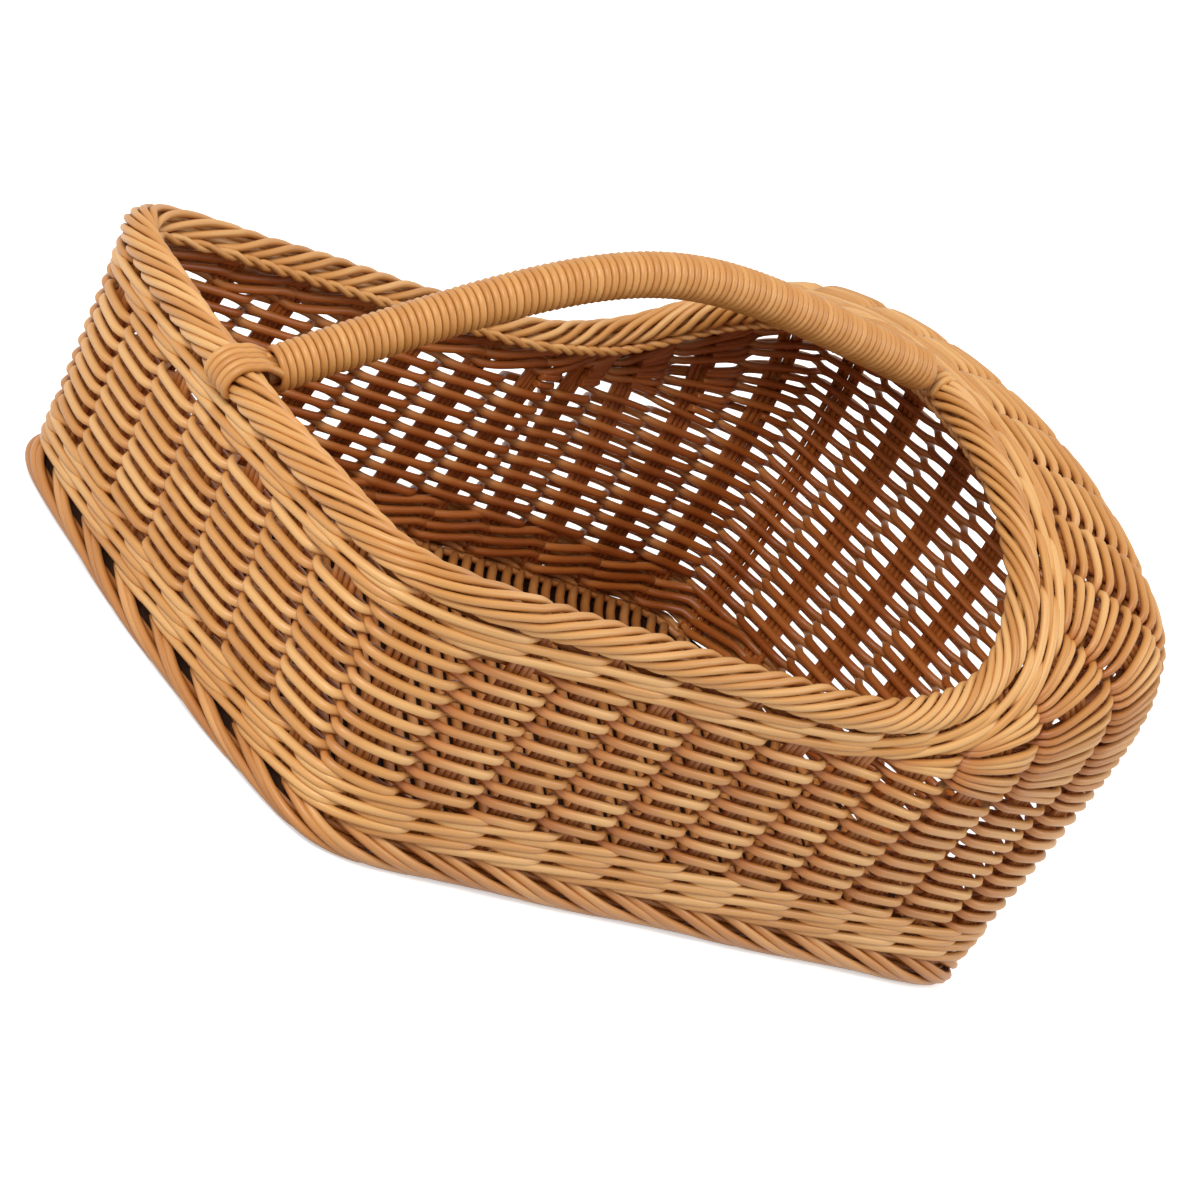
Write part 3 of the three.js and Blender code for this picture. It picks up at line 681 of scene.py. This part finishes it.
# ---------------------------------------------------------------- Top wale
# Two rounds of three-strand wale under the rim, along the sides and up over the hood. They
# hold the tops of the stakes in place and are woven as the bottom wale is.
TOP_WALE_DEPTHS = (10.5, 16.5)
TOP_WALE_CLIMB = 6.4

top_tubes = []
for depth in TOP_WALE_DEPTHS:
    top_tubes += wale_round(wall_height - depth, TOP_WALE_CLIMB)
strand_piece("top_wale_strands", top_tubes, rattan, "top_wale")

# ---------------------------------------------------------------- Rim border
# The wide rolled rim: three strands to a stake come up outside, roll over the top along the
# rim side by side, and end as a row of tips on the inner edge.
RIM_ROLL = 5.8
RIM_STRANDS = 3
RIM_STRAND_RADIUS = 1.8
RIM_RUN = 2.1
RIM_STEPS = 40
RIM_TURN_SHARES = [0, 0.7, 1]
RIM_TURN_ANGLES = [-60, 112, 198]
RIM_TAIL_SWELL = 1.6
RIM_UNEVENNESS = 0.3
RIM_UNEVEN_RATE = 7
RIM_JITTER = 0.02
RIM_TIP = 7
RIM_CORE_ANGLES = (60, 180, 300)
RIM_CORE_REACH = 2.4

rim_loop = wall[:, -1]
rim_heading = unit(np.roll(rim_loop, -1, axis=0) - np.roll(rim_loop, 1, axis=0))
rim_climb = unit(wall[:, -1] - wall[:, -4])
rim_up = unit(rim_climb - (rim_climb * rim_heading).sum(axis=1, keepdims=True) * rim_heading)
rim_out = np.cross(rim_heading, rim_up)


def read_loop(values, stake):
    """Values of the wall's columns at places counted in stakes."""
    place = np.mod(stake, STAKES) * COLUMNS
    low = place.astype(int) % len(values)
    part = (place - np.floor(place))[:, None]
    return values[low] * (1 - part) + values[(low + 1) % len(values)] * part


rim_tubes = []
for i in range(RIM_STRANDS * STAKES):
    share = np.linspace(0, 1, RIM_STEPS)
    stake = i / RIM_STRANDS + random.normal(0, RIM_JITTER) + RIM_RUN * share
    turn = np.radians(np.interp(share, RIM_TURN_SHARES, RIM_TURN_ANGLES))
    out, lift = unit(read_loop(rim_out, stake)), unit(read_loop(rim_up, stake))
    direction = np.cos(turn)[:, None] * out + np.sin(turn)[:, None] * lift
    tail = RIM_TAIL_SWELL * np.sin(np.pi * np.clip((share - 0.5) * 2, 0, 1))
    roll = RIM_ROLL + tail + RIM_UNEVENNESS * np.sin(RIM_UNEVEN_RATE * share + i)
    points = read_loop(rim_loop, stake) + roll[:, None] * direction
    rim_tubes.append(tube(points, direction, RIM_STRAND_RADIUS, taper=RIM_TIP))
# The strands inside the roll, which run right round
for angle in RIM_CORE_ANGLES:
    turn = np.radians(angle)
    core = rim_loop + RIM_CORE_REACH * (np.cos(turn) * rim_out + np.sin(turn) * rim_up)
    rim_tubes.append(tube(core, rim_up, closed=True))
strand_piece("rim_border_strands", rim_tubes, rattan, "rim_border")

# ---------------------------------------------------------------- Rim braid
# A thin line of two strands twisted together. It runs right round the inner edge of the rim
# and covers the tips of the rolled strands.
BRAID_RADIUS = 1.5
BRAID_REACH = 9.6
BRAID_ANGLE = -10
BRAID_TWIST = 1.4
BRAID_TURNS = 2
BRAID_FLATTENING = 0.8

lean = np.radians(180 - BRAID_ANGLE)
braid_direction = np.cos(lean) * rim_out + np.sin(lean) * rim_up
braid_across = -np.sin(lean) * rim_out + np.cos(lean) * rim_up
braid_tubes = []
for j in (0, 1):
    turn = 2 * np.pi * column_stake * BRAID_TURNS + np.pi * j
    points = (rim_loop + BRAID_REACH * braid_direction
              + BRAID_TWIST * np.cos(turn)[:, None] * braid_across
              + BRAID_FLATTENING * BRAID_TWIST * np.sin(turn)[:, None] * braid_direction)
    braid_tubes.append(tube(points, braid_direction, BRAID_RADIUS, closed=True))
strand_piece("rim_braid_strands", braid_tubes, rattan, "rim_braid")

# ---------------------------------------------------------------- Handle
# A stiff core wound closely with one strand. It springs from the inside of the heel rim,
# arches over the opening and ends on the arch of the hood.
HANDLE_STRAND_RADIUS = 1.75
HANDLE_RADIUS = 10.2
HANDLE_PITCH = 3.5
HANDLE_SEAT = 12.71
HANDLE_HEEL_ANGLE = 12.0
HANDLE_HEEL_RUN = 159
HANDLE_HEEL_RISE = 121
HANDLE_HOOD_ANGLE = 106.0
HANDLE_HOOD_RUN = 183
HANDLE_HOOD_RISE = 12
HANDLE_END_GAP = 3
HANDLE_TUCK = 3
# Painted shade: the handle's winding is only a little browned
HANDLE_PAINTED_SHADE = 0.12
HANDLE_POINTS = 400
TURN_STEPS = 20
CORE_STREAK = 2.5

# Bundled core: the same extruded rattan, browner and duller, seen only as slits between the turns
core_finish = new_material("handle_core_bundle")
core_place = add_node(core_finish, "ShaderNodeTexCoord")
core_streaks = add_node(
    core_finish, "ShaderNodeTexNoise", Vector=core_place.outputs["Object"], Scale=1 / (CORE_STREAK * MM),
    Detail=3.0)
core_tan = add_node(core_finish, "ShaderNodeValToRGB", Fac=core_streaks.outputs["Fac"])
set_ramp(core_tan, [(0.3, "#7A4C20"), (0.7, "#9A6630")])
core_sheen = add_node(
    core_finish, "ShaderNodeBsdfPrincipled", Base_Color=core_tan.outputs["Color"], Roughness=0.6)
add_node(core_finish, "ShaderNodeOutputMaterial", Surface=core_sheen.outputs["BSDF"])
handle_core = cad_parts["handle_core"]
handle_core.data.materials.clear()
handle_core.data.materials.append(core_finish)

heel_rim = rim_half[0]
arch_top = rim_half[-1]


def seat_point(rim_point, column, degrees, reach):
    """A place round the rim's middle line: 0 degrees points into the basket, 90 up the wall."""
    inside = unit(-rim_out[column] * [1, 0, 1])
    upward = unit(rim_up[column] * [1, 0, 1])
    angle = np.radians(degrees)
    return rim_point + reach * (np.cos(angle)[..., None] * inside + np.sin(angle)[..., None] * upward)


toe_column = len(column_stake) // 2
handle_start = seat_point(heel_rim, 0, np.array(HANDLE_HEEL_ANGLE), HANDLE_SEAT)
handle_end = seat_point(arch_top, toe_column, np.array(HANDLE_HOOD_ANGLE), HANDLE_SEAT)
lean_out = handle_start + [HANDLE_HEEL_RUN, 0, HANDLE_HEEL_RISE]
lean_back = handle_end + [-HANDLE_HOOD_RUN, 0, HANDLE_HOOD_RISE]
t = np.linspace(0, 1, HANDLE_POINTS)[:, None]
handle_line = ((1 - t) ** 3 * handle_start + 3 * (1 - t) ** 2 * t * lean_out
               + 3 * (1 - t) * t * t * lean_back + t ** 3 * handle_end)
handle_reach = distances(handle_line)
handle_length = handle_reach[-1]
turns = int((handle_length - 2 * HANDLE_END_GAP) / HANDLE_PITCH)
run = np.linspace(HANDLE_END_GAP, handle_length - HANDLE_END_GAP, turns * TURN_STEPS)
centre = read_half(handle_line, handle_reach, run)
heading = unit(np.gradient(centre, axis=0))
sideways = np.broadcast_to([0.0, 1.0, 0.0], heading.shape)
over = np.cross(heading, sideways)
turn = 2 * np.pi * np.arange(len(run)) / TURN_STEPS
out = np.cos(turn)[:, None] * over + np.sin(turn)[:, None] * sideways
tucked = HANDLE_TUCK * np.clip(1 - np.minimum(turn, turn[-1] - turn) / np.pi, 0, 1)
winding = centre + (HANDLE_RADIUS - HANDLE_STRAND_RADIUS - tucked)[:, None] * out
handle_tubes = [tube(winding, out, HANDLE_STRAND_RADIUS, depth=HANDLE_PAINTED_SHADE)]
strand_piece("handle_winding", handle_tubes, rattan, "handle_wrap")

# ---------------------------------------------------------------- Lashings
# Strands side by side come out of each end of the handle, loop over the rim and down the
# outside, and tuck in under the border, so that the handle can't lift off.
LASHING_PITCH = 3.7
LASHING_RADIUS = 1.8
LASHING_STEPS = 48
LASHING_TIP = 4
HEEL_LASHING_STRANDS = 5
HEEL_LASHING_ANGLES = [8, 40, 75, 180, 222]
HEEL_LASHING_REACHES = [20, 14, 10.2, 9.8, 7.5]
HOOD_LASHING_STRANDS = 4
HOOD_LASHING_ANGLES = [40, 75, 150, 200]
HOOD_LASHING_REACHES = [6.5, 7.8, 7.2, 5.5]


def lashing(rim_point, column, count, angles, reaches):
    """Strands side by side round the rim, at a distance from its middle for each angle."""
    strands = []
    for j in range(count):
        across = LASHING_PITCH * (j - (count - 1) / 2)
        degrees = np.linspace(angles[0], angles[-1], LASHING_STEPS)
        reach = np.interp(degrees, angles, reaches)
        points = seat_point(rim_point, column, degrees, reach[:, None])
        out = unit(points - rim_point)
        points = points + [0, across, 0]
        strands.append(tube(points, out, LASHING_RADIUS, taper=LASHING_TIP))
    return strands


heel_strands = lashing(heel_rim, 0, HEEL_LASHING_STRANDS, HEEL_LASHING_ANGLES, HEEL_LASHING_REACHES)
strand_piece("heel_lashing_strands", heel_strands, rattan, "heel_lashing")
hood_strands = lashing(
    arch_top, toe_column, HOOD_LASHING_STRANDS, HOOD_LASHING_ANGLES, HOOD_LASHING_REACHES)
strand_piece("hood_lashing_strands", hood_strands, rattan, "hood_lashing")

# ---------------------------------------------------------------- Floor, light and camera
# The basket stands on a wide sheet of white paper in a white room, under two soft lamps, the
# stronger one at the heel. Places and sizes here are metres, and only the paper's fibre is in
# millimetres.
PAPER_HALF_SIZE = 6.0
PAPER_FIBRE = 1.11
PAPER_GLOW = 0.5
SKY_STRENGTH = 0.75
LIGHT_TARGET = (0, 0, 0.1)
KEY_PLACE = (-2.0, -0.6, 1.6)
KEY_SIZE = 1.2
KEY_POWER = 41
SIDE_PLACE = (1.7, -1.1, 1.5)
SIDE_SIZE = 1.0
SIDE_POWER = 13

floor_mesh = bpy.data.meshes.new("studio_floor")
floor_mesh.from_pydata(
    [(-PAPER_HALF_SIZE, -PAPER_HALF_SIZE, 0), (PAPER_HALF_SIZE, -PAPER_HALF_SIZE, 0),
     (PAPER_HALF_SIZE, PAPER_HALF_SIZE, 0), (-PAPER_HALF_SIZE, PAPER_HALF_SIZE, 0)], [], [(0, 1, 2, 3)])
studio_floor = bpy.data.objects.new("studio_floor", floor_mesh)
bpy.context.scene.collection.objects.link(studio_floor)

# White paper: reads as plain white to the eye of the camera and keeps the soft shadow
paper = new_material("white_paper")
paper_place = add_node(paper, "ShaderNodeTexCoord")
paper_fibre = add_node(
    paper, "ShaderNodeTexNoise", Vector=paper_place.outputs["Object"], Scale=1 / (PAPER_FIBRE * MM))
paper_white = add_node(paper, "ShaderNodeValToRGB", Fac=paper_fibre.outputs["Fac"])
set_ramp(paper_white, [(0.3, "#F6F6F6"), (0.7, "#FAFAFA")])
paper_face = add_node(paper, "ShaderNodeBsdfDiffuse", Color=paper_white.outputs["Color"])
paper_glow = add_node(paper, "ShaderNodeEmission", Color=(1, 1, 1, 1), Strength=PAPER_GLOW)
paper_seen = add_node(
    paper, "ShaderNodeAddShader", at_0=paper_face.outputs["BSDF"], at_1=paper_glow.outputs["Emission"])
paper_dim = add_node(paper, "ShaderNodeBsdfDiffuse", Color=colour("#B4B4B4"))


def seen_directly(material):
    """1 for what the camera sees straight, mirrored or through glass, 0 for light that lights."""
    path = add_node(material, "ShaderNodeLightPath")
    mirrored = add_node(
        material, "ShaderNodeMath", {"operation": "MAXIMUM"},
        at_0=path.outputs["Is Camera Ray"], at_1=path.outputs["Is Glossy Ray"])
    through = add_node(
        material, "ShaderNodeMath", {"operation": "MAXIMUM"},
        at_0=mirrored.outputs["Value"], at_1=path.outputs["Is Transmission Ray"])
    return through.outputs["Value"]


paper_mix = add_node(
    paper, "ShaderNodeMixShader", Fac=seen_directly(paper),
    at_1=paper_dim.outputs["BSDF"], at_2=paper_seen.outputs["Shader"])
add_node(paper, "ShaderNodeOutputMaterial", Surface=paper_mix.outputs["Shader"])
floor_mesh.materials.append(paper)

world = bpy.data.worlds.new("studio")
bpy.context.scene.world = world
world.use_nodes = True
world.node_tree.nodes.clear()
sky_seen = add_node(world, "ShaderNodeBackground", Color=(1, 1, 1, 1), Strength=1.0)
sky_light = add_node(world, "ShaderNodeBackground", Color=(1, 1, 1, 1), Strength=SKY_STRENGTH)
sky_mix = add_node(
    world, "ShaderNodeMixShader", Fac=seen_directly(world),
    at_1=sky_light.outputs["Background"], at_2=sky_seen.outputs["Background"])
add_node(world, "ShaderNodeOutputWorld", Surface=sky_mix.outputs["Shader"])


def soft_light(name, place, size, power):
    lamp = bpy.data.lights.new(name, "AREA")
    lamp.shape = "DISK"
    lamp.size = size
    lamp.energy = power
    light = bpy.data.objects.new(name, lamp)
    away = unit(np.array(place, float) - np.array(LIGHT_TARGET, float))
    right = unit(np.cross([0, 0, 1], away))
    axes = np.stack([right, np.cross(away, right), away], axis=1)
    light.matrix_world = Matrix.Translation(place) @ Matrix(axes.tolist()).to_4x4()
    bpy.context.scene.collection.objects.link(light)


soft_light("key_light", KEY_PLACE, KEY_SIZE, KEY_POWER)
soft_light("side_light", SIDE_PLACE, SIDE_SIZE, SIDE_POWER)

# The camera stands at the heel's near corner and is turned about its own axis, as in the photo
CAMERA_PLACE = (-1.46033, -1.32818, 0.71366)
CAMERA_AZIMUTH = -47.838
CAMERA_ELEVATION = 17.845
CAMERA_ROLL = 34.773
CAMERA_LENS = 139.12

lens = bpy.data.cameras.new("camera")
lens.sensor_width = 36
lens.lens = CAMERA_LENS
camera = bpy.data.objects.new("camera", lens)
a, e, r = np.radians([CAMERA_AZIMUTH, CAMERA_ELEVATION, CAMERA_ROLL])
back = np.array([np.sin(a) * np.cos(e), -np.cos(a) * np.cos(e), np.sin(e)])
right = unit(np.cross([0, 0, 1], back))
above = np.cross(back, right)
rolled_right = np.cos(r) * right + np.sin(r) * above
rolled_up = np.cos(r) * above - np.sin(r) * right
axes = np.stack([rolled_right, rolled_up, back], axis=1)
camera.matrix_world = Matrix.Translation(CAMERA_PLACE) @ Matrix(axes.tolist()).to_4x4()
bpy.context.scene.collection.objects.link(camera)
bpy.context.scene.camera = camera
bpy.context.scene.view_settings.view_transform = "Standard"
